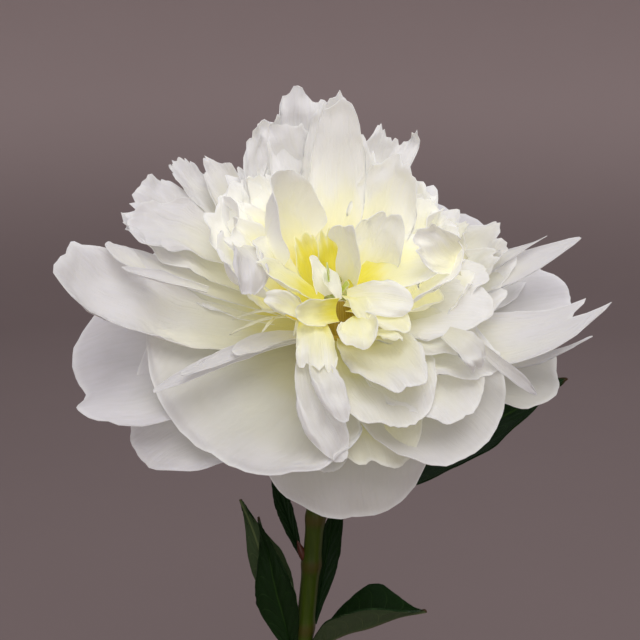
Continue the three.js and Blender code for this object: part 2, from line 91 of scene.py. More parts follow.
# %% Shader helpers
class Link:
    """An output of a node, which Python's arithmetic turns into Math nodes."""

    def __init__(self, finish, socket):
        self.finish = finish
        self.socket = socket

    def math(self, operation, *others):
        return self.finish.node("Math", dict(enumerate((self, *others))), operation=operation)

    def __add__(self, other):
        return self.math("ADD", other)

    def __sub__(self, other):
        return self.math("SUBTRACT", other)

    def __rsub__(self, other):
        return self.math("MULTIPLY_ADD", -1, other)

    def __mul__(self, other):
        return self.math("MULTIPLY", other)

    def __abs__(self):
        return self.math("ABSOLUTE")


class Finish:
    """A procedural material, built node by node."""

    def __init__(self, name):
        self.material = bpy.data.materials.new(name)
        self.material.use_nodes = True
        self.tree = self.material.node_tree
        self.tree.nodes.clear()

    def node(self, kind, values, output=0, **settings):
        made = self.tree.nodes.new("ShaderNode" + kind)
        for key, value in settings.items():
            setattr(made, key, value)
        for key, value in values.items():
            if isinstance(value, Link):
                self.tree.links.new(value.socket, made.inputs[key])
            else:
                made.inputs[key].default_value = value
        return Link(self, made.outputs[output])

    def mix(self, factor, first, second):
        colours = [c if isinstance(c, Link) else (*c, 1) for c in (first, second)]
        return self.node("Mix", {0: factor, 6: colours[0], 7: colours[1]}, 2, data_type="RGBA")

    def ease(self, value, low, high):
        return self.node("MapRange", {"Value": value, "From Min": low, "From Max": high},
                         interpolation_type="SMOOTHSTEP")

    def noise(self, vector, scale, detail=3, roughness=0.5):
        """Noise of one scale, or stretched by a scale for each axis."""
        if isinstance(scale, tuple):
            vector = self.node("Mapping", {"Vector": vector, "Scale": scale})
            scale = 1
        values = {"Vector": vector, "Scale": scale, "Detail": detail, "Roughness": roughness}
        return self.node("TexNoise", values)

    def place(self):
        return self.node("TexCoord", {}, "Object")

    def axis(self, vector, letter):
        return self.node("SeparateXYZ", {"Vector": vector}, letter)

    def height(self):
        return self.axis(self.place(), "Z")

    def growth(self):
        """The blade's own map: x crosses it and is a whole number higher on the next blade."""
        return self.node("UVMap", {}, uv_map="growth")

    def along(self, growth):
        return self.axis(growth, "Y")

    def from_rib(self, growth):
        """0 on a blade's middle line, 1 at its margins."""
        return abs(self.axis(growth, "X").math("FRACT") - 0.5) * 2

    def margin(self):
        return self.node("Attribute", {}, "Fac", attribute_name="margin")

    def bump(self, height, depth, strength=1):
        return self.node("Bump", {"Height": height, "Distance": depth, "Strength": strength})

    def surface(self, tone, roughness, **more):
        """The shader. In the name of a further input, an underscore stands for a space."""
        values = {key.replace("_", " "): value for key, value in more.items()}
        shader = self.node("BsdfPrincipled", {"Base Color": tone, "Roughness": roughness, **values})
        output = self.tree.nodes.new("ShaderNodeOutputMaterial")
        self.tree.links.new(shader.socket, output.inputs["Surface"])
        print("finish", self.material.name, "has", len(self.tree.nodes), "nodes")
        return self.material


# %% [markdown]
# ## Round pieces
# The cove, the vase and the heart of the flower are turned shapes: a bent line spun round an upright
# axis. The spin leaves double points along its seam and on the axis, which are merged before the faces
# are made to look outwards.

# %% Spinning helper
SAME_PLACE = 1e-6
SPIN_STEPS = 96


def new_piece(name, bm, *materials):
    """Turns a bmesh into an object that sits at the origin."""
    mesh = bpy.data.meshes.new(name)
    bm.to_mesh(mesh)
    bm.free()
    for material in materials:
        mesh.materials.append(material)
    piece = bpy.data.objects.new(name, mesh)
    bpy.context.scene.collection.objects.link(piece)
    return piece


def add_spun(bm, profile, steps, place=Matrix()):
    """Spins a line of (radius, height) points, in mm, and adds the result, moved to its place."""
    part = bmesh.new()
    verts = [part.verts.new((radius * MM, 0, height * MM)) for radius, height in profile]
    edges = [part.edges.new(pair) for pair in zip(verts, verts[1:])]
    bmesh.ops.spin(part, geom=verts + edges, axis=(0, 0, 1), cent=(0, 0, 0), angle=tau,
                   steps=steps, use_merge=True)
    bmesh.ops.remove_doubles(part, verts=part.verts, dist=SAME_PLACE)
    bmesh.ops.recalc_face_normals(part, faces=part.faces)
    bmesh.ops.transform(part, matrix=place, verts=part.verts)
    for face in part.faces:
        face.smooth = True
    carried = bpy.data.meshes.new("carried")
    part.to_mesh(carried)
    part.free()
    bm.from_mesh(carried)
    bpy.data.meshes.remove(carried)


def turned(name, profile, steps, material, place=Matrix()):
    bm = bmesh.new()
    add_spun(bm, profile, steps, place)
    return new_piece(name, bm, material)


print("a large turned piece is spun in", SPIN_STEPS, "steps")

# %% [markdown]
# ## Floor and light
# The studio is a round cove: a flat floor that curves up into a wall all the way round, so the horizon
# shows from no side. It is painted in the brownish grey of the photograph's wall, darker on the floor as
# painted shade against the stronger light that falls there.

# %% The cove
COVE_RADIUS = 1300
COVE_BEND = 500
COVE_WALL = 1100
WALL_TONE_FROM = 300 * MM
# The floor's greys are darker than the wall's: painted shade that evens out the stronger lamp light on it.
SHADED_FLOOR_GREYS = ((0.24, 0.185, 0.18), (0.21, 0.16, 0.155))
WALL_GREYS = ((0.46, 0.37, 0.36), (0.41, 0.325, 0.315))


def cove_finish():
    finish = Finish("cove_paint")
    mottle = finish.noise(finish.place(), 9) * 0.3
    floor = finish.mix(mottle, *SHADED_FLOOR_GREYS)
    wall = finish.mix(mottle, *WALL_GREYS)
    tone = finish.mix(finish.ease(finish.height(), 0, WALL_TONE_FROM), floor, wall)
    return finish.surface(tone, 0.9)


turns = [radians(angle) for angle in range(0, 91, 6)]
bend = [(COVE_RADIUS + COVE_BEND * sin(turn), COVE_BEND * (1 - cos(turn))) for turn in turns]
profile = [(0, 0), *bend, (COVE_RADIUS + COVE_BEND, COVE_WALL)]
cove = turned("cove", profile, SPIN_STEPS, cove_finish())
cove.data.flip_normals()
print("cove faces:", len(cove.data.polygons))

# %% [markdown]
# The light in the photograph is soft and comes from above and in front. One broad lamp stands over the
# bloom, a weak one fills from the front and one behind lights the rims. That one stands high, where its
# light has no edge on the floor.

# %% Lamps
# Name, place and width in metres, power in watts, colour.
LAMPS = [
    ("ceiling_lamp", (0.1, -0.75, 1.15), 0.8, 6, (1, 0.98, 0.96)),
    ("front_lamp", (0, -1.6, 0.6), 0.7, 3.5, (0.96, 0.96, 1)),
    ("back_lamp", (0.4, 1.25, 1.3), 0.7, 3, (0.96, 0.96, 1)),
]
SKY_COLOUR = (0.97, 0.95, 1, 1)
SKY_STRENGTH = 0.45

for name, place, width, power, colour in LAMPS:
    data = bpy.data.lights.new(name, "AREA")
    data.shape = "DISK"
    data.size = width
    data.energy = power
    data.color = colour
    lamp = bpy.data.objects.new(name, data)
    lamp.location = place
    lamp.rotation_euler = (HEART - Vector(place)).to_track_quat("-Z", "Y").to_euler()
    bpy.context.scene.collection.objects.link(lamp)
    print(name, power, "W")
sky = bpy.data.worlds.new("studio_sky")
sky.use_nodes = True
background = sky.node_tree.nodes["Background"]
background.inputs["Color"].default_value = SKY_COLOUR
background.inputs["Strength"].default_value = SKY_STRENGTH
bpy.context.scene.world = sky

# %% [markdown]
# ## One formula for every blade
# A petal or leaf is a thin blade round a curved spine, and copies of one would look copied. So each is
# described by words that a gardener could use: where its tip lies, how wide it is, how deeply it is
# cupped, how crumpled it is. A flat grid is then bent to those words, point by point.

# %% The blade formula
# Lengths are in mm, turns in degrees, and the rest are shares. bow pushes the spine's middle towards the
# inner face and sway sideways, roll and turn twist it, and lip and hook lift the rim and the end. foot
# and end are widths as shares of the widest. A lobe is (place across, spread, how much shorter it is).
BLADE = dict(bow=0, sway=0, widest=0.65, foot=0.22, end=0.9, cup=0.6, roll=0, turn=0, wave=1.2,
             crumple=0.8, crease=0.5, lip=0, lip_from=0.8, hook=0, frill=0.6, blunt=0.4, lobes=(),
             cut=0.12, point=1.7, teeth=0.02, margin=0.12, fold=0, rib=0, quilt=0)
FULLNESS = 2.4
CRUMPLE_SIZE = 11
FRILL_SIZE = 5
RIB_WIDTH = 0.07
SIDE_VEINS = 8
VEIN_SLANT = 2.2


def ease(value, low, high):
    share = min(1, max(0, (value - low) / (high - low)))
    return share * share * (3 - 2 * share)


class Blade:
    """A petal or leaf with its root, its tip and the side that its inner face looks to, in mm."""

    def __init__(self, root, tip, facing, habit, seed):
        self.habit = {**BLADE, **habit}
        self.root, self.tip = Vector(root), Vector(tip)
        chord = self.tip - self.root
        self.length = chord.length
        chord.normalize()
        up = (Vector(facing) - chord * chord.dot(facing)).normalized()
        self.side = up.cross(chord)
        self.bend = (self.root + self.tip) / 2 + up * self.habit["bow"] + self.side * self.habit["sway"]
        draw = random.Random(seed)
        self.phases = [draw.uniform(0, tau) for _ in range(2)]
        self.grain = Vector([draw.uniform(0, 99) for _ in range(3)])
        self.lobes = self.habit["lobes"]
        if isinstance(self.lobes, int):
            self.lobes = [((2 * i + 1) / self.lobes - 1 + draw.uniform(-0.12, 0.12),
                           draw.uniform(0.9, 1.25) / self.lobes, draw.uniform(0, 0.5))
                          for i in range(self.lobes)]

    def end_at(self, across):
        """How far along its length the blade reaches, on a line from -1 to 1 of its width."""
        habit = self.habit
        reach = 1 - habit["blunt"] * (1 - sqrt(max(0, 1 - abs(across) ** FULLNESS)))
        if self.lobes:
            missing = min(short + (abs(across - place) / spread) ** habit["point"]
                          for place, spread, short in self.lobes)
            reach -= habit["cut"] * min(1.15, missing)
        ragged = abs(noise.noise(self.grain + Vector((6 * across, 0, 0))))
        ragged += 0.6 * abs(noise.noise(self.grain + Vector((17 * across, 9, 0))))
        return reach - habit["teeth"] * ragged

    def spine(self, reach):
        """The middle line's point, and the side and inward directions there."""
        rest = 1 - reach
        middle = rest * rest * self.root + 2 * rest * reach * self.bend + reach * reach * self.tip
        ahead = (rest * (self.bend - self.root) + reach * (self.tip - self.bend)).normalized()
        side = (self.side - ahead * ahead.dot(self.side)).normalized()
        turn = radians(self.habit["roll"] + self.habit["turn"] * reach)
        side.rotate(Matrix.Rotation(turn, 3, ahead))
        return middle, side, ahead.cross(side)

    def half_width(self, reach, across):
        """A swelling from the root, a taper to the end, and an uneven margin."""
        habit = self.habit
        swell = sin(pi / 2 * min(1, reach / habit["widest"])) ** 1.3
        taper = 1 - (1 - habit["end"]) * ease(reach, habit["widest"], 1)
        half = habit["width"] / 2 * (habit["foot"] + (1 - habit["foot"]) * swell) * taper
        spot = self.grain + Vector((0, 4 * reach, 50 if across > 0 else 0))
        uneven = noise.noise(spot) + 0.4 * noise.noise(spot * 3.3)
        return half * (1 + habit["margin"] * uneven * ease(reach, 0.15, 0.5))

    def rim_lift(self, along, across, reach, half):
        """Waves, a turned lip, a hooked end and a frill."""
        habit = self.habit
        rim = across ** 2 * ease(reach, 0.25, 0.9) + 0.6 * ease(reach, 0.75, 1)
        ripple = sin(2.6 * pi * across + self.phases[0] + 2 * reach)
        ripple += sin(7.5 * reach + 4 * across + self.phases[1])
        near_edge = max(along, abs(across) * ease(reach, 0.2, 0.5))
        spot = self.grain + Vector((half * across, self.length * reach, 70)) / FRILL_SIZE
        lift = 0.6 * habit["wave"] * rim * ripple
        lift += habit["lip"] * ease(near_edge, habit["lip_from"], 1) ** 1.5
        lift += habit["hook"] * ease(along, 0.5, 1) ** 2
        return lift + habit["frill"] * ease(near_edge, 0.65, 1) ** 2 * 2 * noise.noise(spot)

    def vein_lift(self, across, reach):
        """A leaf's surface, puffed up between its side veins and sunk along its rib."""
        rib = exp(-(across / RIB_WIDTH) ** 2) * (1 - reach)
        ladder = abs(sin(pi * (SIDE_VEINS * reach - VEIN_SLANT * abs(across))))
        puff = ladder * min(1, 3 * abs(across)) * (1 - across * across)
        return self.habit["quilt"] * puff - self.habit["rib"] * rib

    def point(self, along, across):
        """Where the formula puts a point of the flat grid."""
        habit = self.habit
        reach = along * self.end_at(across)
        middle, side, inward = self.spine(reach)
        half = self.half_width(reach, across)
        cup = habit["cup"] * (1.1 - 0.2 * reach)
        lift = half * (1 - cos(cup * across)) / cup + habit["fold"] * half * abs(across)
        lift += self.rim_lift(along, across, reach, half) + self.vein_lift(across, reach)

        spot = self.grain + Vector((half * across * 1.3, self.length * reach, 0)) / CRUMPLE_SIZE
        grown = ease(reach, 0.15, 0.6)
        lift += habit["crumple"] * grown * 2 * noise.noise(spot)
        lift += habit["crease"] * grown * (0.5 - 3 * abs(noise.noise(spot * 1.9)))
        shove = habit["crumple"] * grown * noise.noise(spot + Vector((0, 0, 30)))
        return middle + side * (half * sin(cup * across) / cup + shove) + inward * lift


print("a blade is described by", len(BLADE), "words")

# %% [markdown]
# The grid's rows and columns crowd towards the margin, where a petal has its frills. The grid carries two
# things for the finishes: a map of the blade's growth from its root, and how near each point lies to the
# margin. A thin shell then gives the sheet two faces.

# %% Bend a grid into a blade
ROW_CROWDING = 1.6
HALF_STEP = 0.499


def blade_share(vert):
    """A grid point's share along and across its blade."""
    along, across = (vert.co.y + 1) / 2, -vert.co.x
    return 1 - (1 - along) ** ROW_CROWDING, across * (3 - across * across) / 2


def add_blade(bm, blade, columns, rows, number, map_length=1, map_start=0, place=Matrix()):
    """Bends a new grid into the blade. Its map lies one whole step beside the last blade's."""
    growth = bm.loops.layers.uv.get("growth") or bm.loops.layers.uv.new("growth")
    margin = bm.verts.layers.float.get("margin") or bm.verts.layers.float.new("margin")
    grid = bmesh.ops.create_grid(bm, x_segments=columns, y_segments=rows, size=1)
    for face in {face for vert in grid["verts"] for face in vert.link_faces}:
        face.smooth = True
        for loop in face.loops:
            along, across = blade_share(loop.vert)
            loop[growth].uv = (number + 0.5 + HALF_STEP * across, map_start + along * map_length)
    for vert in grid["verts"]:
        along, across = blade_share(vert)
        vert[margin] = max(along, abs(across))
        vert.co = place @ (blade.point(along, across) * MM)
        for edge in vert.link_edges:
            edge.smooth = not edge.is_boundary


def thicken(piece, thickness, back_slot=0):
    shell = piece.modifiers.new("thickness", "SOLIDIFY")
    shell.thickness = thickness * MM
    shell.offset = 0
    shell.material_offset = back_slot
    return piece


test = Blade((0, 0, 0), (0, 60, 0), (0, 0, 1), dict(width=40, cup=0.5), 1)
print("a 40 mm blade is", round((test.point(0.7, 1) - test.point(0.7, -1)).length, 1), "mm wide at 0.7")

# %% [markdown]
# ## The petals
# A double peony has a ring of broad guard petals, and inside it the stamens have turned into petals of
# every size: ragged ones in the crown, cupped ones round the heart, narrow straps anywhere. Each kind has
# a habit of its own. Its root is a ring's radius and height, and a petal stands on it under its tip.

# %% The habit of each kind
LEAN = radians(38)
bloom_place = Matrix.Translation(HEART) @ Matrix.Rotation(LEAN, 4, "X")

GUARD = dict(root=(7, -24), bow=8, cup=0.5, blunt=0.45, crumple=0.7, crease=0.08, teeth=0.012, frill=0.4)
SIDE = dict(root=(6, -16), bow=3, cup=0.75, wave=1, crease=0.3)
STRAP = dict(root=(6, -15), bow=3, cup=0.5, blunt=0.5, wave=0.4, end=0.35, crumple=0.3, crease=0.2,
             frill=0.2, teeth=0.01)
MIDDLE = dict(root=(6, -19), bow=-2, wave=1.6, widest=0.7, lobes=3, frill=1)
CROWN = dict(root=(6, -14), bow=-4, wave=1.5, widest=0.75, end=0.92, lobes=3, cut=0.06, point=2,
             crumple=1.3, crease=0.6, frill=1, teeth=0.045, blunt=0.3)
SKIRT = dict(root=(6, -14), bow=5, end=0.82, lip=-1.2, wave=0.8)
INNER = dict(root=(5, -11), bow=-7, cup=0.75, wave=0.8, lobes=2, cut=0.07, crease=0.3)
CURL = dict(root=(6, -12), bow=-3, cup=0.8, wave=1.6, lobes=2, cut=0.08, point=2, crumple=1.5, crease=0.7,
            end=0.95, widest=0.75, frill=1.2, teeth=0.045, blunt=0.3, lip=1)
TUFT = dict(root=(4.5, -8), bow=3, wave=0.6, widest=0.7, foot=0.45, end=0.85, crumple=0.5, crease=0.3,
            lip=-0.8)
THREAD = dict(root=(4.5, -8), wave=0.3, widest=0.5, foot=0.8, end=0.8, crumple=0.3, crease=0.1, frill=0)


def petal(habit, tip, width, **changes):
    return {**habit, "tip": tip, "width": width, **changes}


print(f"the bloom leans {degrees(LEAN):.0f} degrees towards the viewer")

# %% [markdown]
# The petals that show in the photograph are listed by the place of their tip, in millimetres from the
# heart, in the bloom's own frame: x to the right, y to the back, z along its axis. Lobes are placed from
# -1 to 1, from right to left as seen from the heart. `start` gives another root, and `bearing` another
# side of the ring. `looks` and `inward` turn the inner face, and `pale` whitens a petal, or yellows it
# below zero.

# %% Guards, sides and flanks
guard_petals = [
    petal(GUARD, (-77, -6, -33), 56, bow=10, lobes=((-0.45, 0.75, 0), (0.65, 0.45, 0.1)), cut=0.08),
    petal(GUARD, (-55, -30, -34), 46, bow=10),
    petal(GUARD, (-37, -39, -16), 78, bow=6, cup=0.6, blunt=0.5, wave=0.8, lip=-1.2, lip_from=0.93,
        crumple=1.2, crease=0.2),
    petal(GUARD, (-2, -47, -18), 16, bow=4, blunt=0.5, wave=0.8, lip=-1),
    petal(GUARD, (5, -48, -40), 47, bow=9, blunt=0.5, wave=0.6, lip=-1.5),
    petal(GUARD, (38, -40, -18), 46, bow=7, cup=0.55),
    # This guard's darker base reaches further out, as painted shade inside its cup.
    petal(GUARD, (65, -5, -31), 42, pale=-2),
    petal(GUARD, (69, 18, -21), 34, bow=6),
]
side_petals = [
    petal(SIDE, (-75, 5, 10), 22, bow=-9, sway=16, roll=-8, cup=0.4, widest=0.9, end=1, blunt=0.16,
        foot=0.3, lobes=((-0.4, 0.6, 0), (0.5, 0.8, 0.2)), cut=0.05, lip=1.5, lip_from=0.85, crumple=1.5,
        crease=0.8, pale=0.4),
    petal(STRAP, (-62, 8, 10), 6, start=(-50, 1, 4), bow=1, end=0.7, pale=4),
    petal(STRAP, (-57, 0, 9), 4.5, start=(-34, -5, 5), bow=0, foot=0.7, end=0.6, cup=1.3, crumple=0.8,
        pale=4),
    petal(STRAP, (-62, 12, 5), 7, end=0.8, sway=5, cup=0.3),
    petal(MIDDLE, (-54, 11, -6), 12, bow=1, lobes=(), wave=0.8),
    petal(STRAP, (70, 21, -1), 12, bow=1, sway=-6, end=0.5, widest=0.6),
    petal(STRAP, (60, 20, 1), 6, end=0.1, sway=-6),
    petal(STRAP, (76, 1, -4), 21, bow=-8, sway=-20, end=0.6, widest=0.5, cup=0.7, blunt=0.2,
        lobes=((0.6, 0.35, 0.22), (-0.35, 0.45, 0)), cut=0.13, point=1.2),
    petal(STRAP, (71, -8, -10), 4.5, bow=-4, sway=-21),
    petal(STRAP, (53, -29, -9), 3.6, start=(37, -23, 4), bow=1, end=0.6, foot=0.8, looks=(0, -0.6, 0.8),
        inward=0, pale=4),
    petal(STRAP, (-40, -30, 1), 4.4, bow=5, end=0.6, blunt=0.2, foot=0.7, pale=3),
    petal(STRAP, (-47, -33, -2), 5.4, bow=6, end=0.55, blunt=0.2, foot=0.7, pale=3),
    petal(STRAP, (-27, -22, 0), 6, bow=4, end=1, blunt=0.3, widest=0.85, pale=3),
]
flank_petals = [
    petal(CURL, (-21, -18, 18), 13, start=(-27, 3, 14), bow=8, lip=-1, lobes=1, cut=0.04, crease=0.4,
        pale=4),
    petal(CROWN, (-57, 18, 11), 20, start=(-27, 13, -1), bow=1, lobes=((0.3, 1, 0),), cut=0.08, blunt=0.45,
        crumple=1.5, crease=1, foot=0.5, pale=3),
    petal(CROWN, (-59, 26, 9), 26, bow=1, lobes=((-0.5, 0.7, 0), (0.5, 0.5, 0.3)), cut=0.05, blunt=0.12,
        crumple=1.4, crease=1),
    petal(CROWN, (-46, 40, 12), 10, bow=-3, lobes=((0.2, 1.5, 0), (-0.85, 0.3, 0)), cut=0.03, blunt=0.15),
    petal(CROWN, (-37, 38, 15), 13, bow=-3, lobes=((0, 0.35, 0), (0.7, 0.5, 0.5), (-0.7, 0.4, 0.8))),
    petal(CROWN, (37, 17, 10), 16),
    petal(CROWN, (48, 17, 6), 17, bow=-3, lobes=((0.4, 0.6, 0), (-0.6, 0.5, 0.2)), cut=0.08, blunt=0.2),
    petal(CROWN, (47, 8, 6), 16, bow=-2, lobes=2),
]
print("outer petals:", len(guard_petals + side_petals + flank_petals))

# %% [markdown]
# The crown stands up behind the heart, tall and ragged. Below the heart the skirt lies in layers over
# the front guards, with smooth margins that roll outwards.

# %% Crown and skirt
crown_petals = [
    petal(CROWN, (-26, 27, 22), 11, bow=-3, lobes=5),
    petal(CROWN, (-20, 38, 29), 27, bow=-7, lobes=((0.3, 0.8, 0), (-0.5, 0.5, 0.2)), cut=0.05, hook=4,
        crumple=2.2, crease=1.3),
    petal(CROWN, (-10, 40, 38), 25, bow=-8, lobes=((-0.6, 0.4, 0.6), (0, 0.45, 0), (0.7, 0.3, 0.8)),
        cut=0.07, end=0.9, blunt=0.2, crumple=1.9, crease=1.1),
    petal(CROWN, (1, 37, 39), 22, bow=-8, blunt=0.35, widest=0.6, lobes=((0.5, 0.45, 0.15), (0, 0.5, 0)),
        cut=0.09, crumple=0.9, crease=0.3),
    petal(CROWN, (18, 38, 30), 17, bow=-6, cup=0.7, lobes=((0.7, 0.45, 0.3), (-0.75, 0.35, 0)), cut=0.1,
        point=1.3, blunt=0.12, crumple=1.7, crease=1),
    petal(CROWN, (27, 24, 13), 18, bow=-5, lobes=5, cut=0.08),
]
skirt_petals = [
    petal(SKIRT, (15, -48, -17), 30, lobes=((-0.7, 0.35, 0), (0.25, 0.8, 0.2)), cut=0.1, point=1.4,
        pale=-1.5),
    petal(SKIRT, (35, -37, -5), 32),
    petal(SKIRT, (18, -43, -2), 31, bow=6, blunt=0.3),
    petal(SKIRT, (19, -39, 8), 22, bow=6, widest=0.7),
    petal(SKIRT, (3, -50, -8), 12, start=(-8, -22, 4), bow=4, sway=-9, widest=0.7, end=0.8, pale=3),
    petal(SKIRT, (3, -46, 3), 9, start=(-6, -26, 6), bow=4, sway=-3, widest=0.6, end=0.7, pale=3,
        crumple=1.2),
    petal(SKIRT, (41, -13, 7), 26, bow=4, pale=1.4),
    petal(SKIRT, (40, 0, 8), 20, bow=-3, pale=1.4),
    petal(SKIRT, (43, -27, -1), 24, lobes=3, cut=0.06),
    petal(SKIRT, (35, -24, 6), 18, lobes=2, cut=0.08),
    petal(SKIRT, (39, -30, 4), 10, start=(28, -22, 8), bow=2, lobes=3, cut=0.15, crumple=1.6, foot=0.5,
        pale=3),
]
print("crown and skirt petals:", len(crown_petals + skirt_petals))

# %% [markdown]
# Round the heart the inner petals curl over each other, and the smallest are nearly yellow. The
# filaments are stamens that stayed threads, and two tips beside the carpels stayed green.

# %% The heart
inner_petals = [
    petal(INNER, (-21, 14, 35), 20, bow=-8, cup=0.95, crumple=0.5, crease=0.2, hook=8, lobes=((0.2, 1, 0),),
        cut=0.06),
    petal(INNER, (1, 31, 42), 17, bow=-6, cup=0.5, lobes=((-0.4, 0.9, 0), (0.6, 0.5, 0.2)), crumple=0.5),
    petal(INNER, (18, 20, 31), 21, bow=-6, cup=0.5, lobes=4, cut=0.05, crumple=0.6, crease=0.2, frill=1.4),
    petal(CURL, (-33, -3, 21), 20, bow=-4, roll=12),
    petal(CURL, (-29, 3, 23), 18, bow=-5, roll=-10),
    petal(CURL, (-36, 15, 20), 20, bow=-4, roll=-15),
    petal(CURL, (-29, 18, 23), 18, bow=-5, roll=15),
    petal(CURL, (-24, 24, 23), 13, bow=-5, lobes=5, cut=0.06),
    petal(CURL, (19, -4, 25), 12, start=(33, -3, 13), bow=3, foot=0.5, crumple=2.8, crease=1.2, frill=2,
        lobes=4, cut=0.12, looks=(0, -0.5, 0.8), inward=0, pale=2),
    petal(CURL, (31, 3, 21), 20, bow=-4, hook=-3),
    petal(CURL, (36, -1, 17), 15, bow=-4),
    petal(CURL, (29, 18, 16), 17, bow=-4, roll=-20),
    petal(CURL, (34, 12, 14), 15, bow=-4),
    petal(INNER, (33, -6, 19), 25, bow=-1, lobes=(), crumple=0.6, crease=0.2, widest=0.75, blunt=0.35),
]
heart_petals = [
    petal(TUFT, (-21, -3, 21), 18, bow=-2, lip=0),
    petal(TUFT, (-20, -9, 21), 10, start=(-3, -8, 4), bow=-1, lip=0),
    petal(TUFT, (-9, 9, 13), 10, bow=-3, lip=0, bearing=130, lobes=4, cut=0.14, crumple=1.4, pale=-0.9),
    petal(TUFT, (-2, 9, 14), 9, bow=-3, lip=0, bearing=100, lobes=4, cut=0.14, crumple=1.4, pale=-0.9),
    petal(TUFT, (3, 0, 28), 12, bow=-3, lip=0, bearing=50, blunt=0.25, lobes=((-0.3, 0.7, 0.2),), cut=0.1,
        crumple=1.2, pale=1.2),
    petal(TUFT, (15, 4, 26), 16, bow=-4, lip=0, bearing=25, blunt=0.3, looks=(-0.1, -0.6, 0.8), inward=0,
        lobes=((0.5, 0.5, 0.3), (-0.4, 0.6, 0)), cut=0.1, crumple=1.2, crease=0.6, foot=0.3, pale=0.6),
    petal(TUFT, (-6, 1, 13), 7, start=(-3, -5, 3), bow=1, lip=0, foot=0.8, widest=0.4, end=0.4,
        looks=(0.2, -0.6, 0.8), pale=3),
    petal(TUFT, (-3, -1, 10), 6, start=(1, -7, 4), bow=1, lip=0, foot=0.3, lobes=2, cut=0.1,
        looks=(0.1, -0.6, 0.8), pale=3),
    petal(TUFT, (-11, -19, 13), 7.2, start=(0, -13, 7), bow=2, lip=2, lip_from=0.6, foot=0.95, cup=0.7,
        blunt=0.25, looks=(0, -0.7, 0.7), inward=0, pale=0.5),
    petal(TUFT, (-19, -16, 15), 6.5, start=(-9, -15, 7), bow=2, lobes=2, crumple=1, sway=-2,
        looks=(0, -0.5, 0.8), inward=0, pale=1.5),
    petal(TUFT, (-5, -36, 8), 10, start=(-6, -14, 6), bow=6, lip=0, foot=0.7, widest=0.5, end=1.1,
        blunt=0.12, cup=0.3, fold=-0.6, lobes=((0.75, 0.45, 0), (0.1, 0.6, 0.4), (-0.7, 0.5, 0.6)),
        cut=0.15, teeth=0.08, frill=1.6, pale=0.6),
    petal(TUFT, (8, -20, 12), 6, start=(4, -9, 8), bow=2, foot=0.9, lobes=3, frill=1.5, blunt=0.15, pale=1),
    petal(TUFT, (6, -31, 11), 12.5, start=(5, -17, 9), bow=4, foot=0.1, widest=0.9, hook=3, cup=0.5,
        lobes=((-0.7, 0.5, 0.4), (0.3, 0.6, 0)), cut=0.1, pale=1),
    petal(TUFT, (17, -25, 10), 3.4, start=(9, -21, 6), bow=2, foot=0.8, pale=1.5),
    petal(TUFT, (20, -16, 13), 11, start=(3, -10, 8), bow=4, looks=(-0.1, -0.4, 0.9), inward=0, pale=1.6),
    petal(TUFT, (19, -22, 10), 9, start=(4, -12, 6), foot=0.5, pale=0.5),
    petal(TUFT, (30, -2, 15), 20, start=(4, -1, -1), bow=5, lip=0, blunt=0.45),
]
filaments = [
    # The widest filament fills the crack in front of the heart; its dark ochre is partly the stamens' own
    # colour and partly painted shade.
    petal(THREAD, (1, -7, 4), 9, start=(1, -16, 0), looks=(0, -0.6, 0.8), pale=-1.6),
    petal(THREAD, (-28, -20, 5), 0.9, start=(-13, -12, 3), bow=3, pale=1),
    petal(THREAD, (-27, -16, 6), 0.8, start=(-13, -11, 4), bow=3, pale=1),
    petal(THREAD, (-19, -21, 7), 0.7, start=(-16, -15, 6), bow=1, pale=1),
    petal(THREAD, (-11, -22, 7), 0.7, start=(-10, -15, 5), bow=2, pale=1),
    petal(THREAD, (-1, -34, 7), 0.8, start=(-2, -25, 5), bow=1, pale=1),
]
green_tips = [
    petal(THREAD, (-2, -4, 15), 3, start=(-2, -3, 8), looks=(0, -0.6, 0.8)),
    petal(THREAD, (4, -4, 7), 3, start=(2, -2, 2), looks=(0, -0.6, 0.8)),
]
print("heart petals:", len(inner_petals + heart_petals))

# %% [markdown]
# The back isn't in the photograph. Three whorls of plain petals close it: guards below, middle petals
# over them, and the back of the crown on top.

# %% The back whorls
# The list that a whorl joins, its habit and bearings, and its petals' reach, height and width.
BACK_WHORLS = [
    (guard_petals, GUARD, (38, 72, 108, 146), 66, -24, 52),
    (crown_petals, MIDDLE, (15, 55, 90, 128, 156), 54, -2, 34),
    (crown_petals, {**CROWN, "bow": -6}, (68, 88, 112, 140), 38, 20, 24),
]
for petals, habit, bearings, reach, height, width in BACK_WHORLS:
    for bearing in bearings:
        angle = radians(bearing)
        petals.append(petal(habit, (reach * cos(angle), reach * sin(angle), height), width))
    print("a whorl of", len(bearings), "petals", width, "mm wide")

# %% [markdown]
# Small crumpled petals fill what lies between the listed ones, so that no gap shows the core. They stand
# on a spiral with the golden angle, under a dome that is highest at the back, and are left out where
# listed petals stand close.

# %% Filling petals
GOLDEN_ANGLE = radians(137.5)
FILLERS = 40
INNERMOST = 24
OUTERMOST = 42

draw = random.Random(11)
for number in range(FILLERS):
    angle = GOLDEN_ANGLE * number
    to_right, to_back = cos(angle), sin(angle)
    reach = INNERMOST + (OUTERMOST - INNERMOST) * number / FILLERS
    in_front = to_back < -0.35
    behind_heart = to_back > 0.5 and reach < 32
    far_left = to_right < -0.85 and reach > 31
    if in_front or behind_heart or far_left:
        continue
    dome = 12 + 14 * max(0, to_back) - 0.3 * (reach - 18)
    tip = (reach * to_right, reach * to_back, dome + draw.uniform(-4, 2))
    inner_petals.append(petal(
        CURL, tip, draw.uniform(14, 21), bow=draw.uniform(-7, -2), lobes=draw.choice((2, 3)),
        roll=draw.uniform(-12, 12), turn=draw.uniform(-15, 15), sway=draw.uniform(-3, 3)))
print("inner petals with fillers:", len(inner_petals))
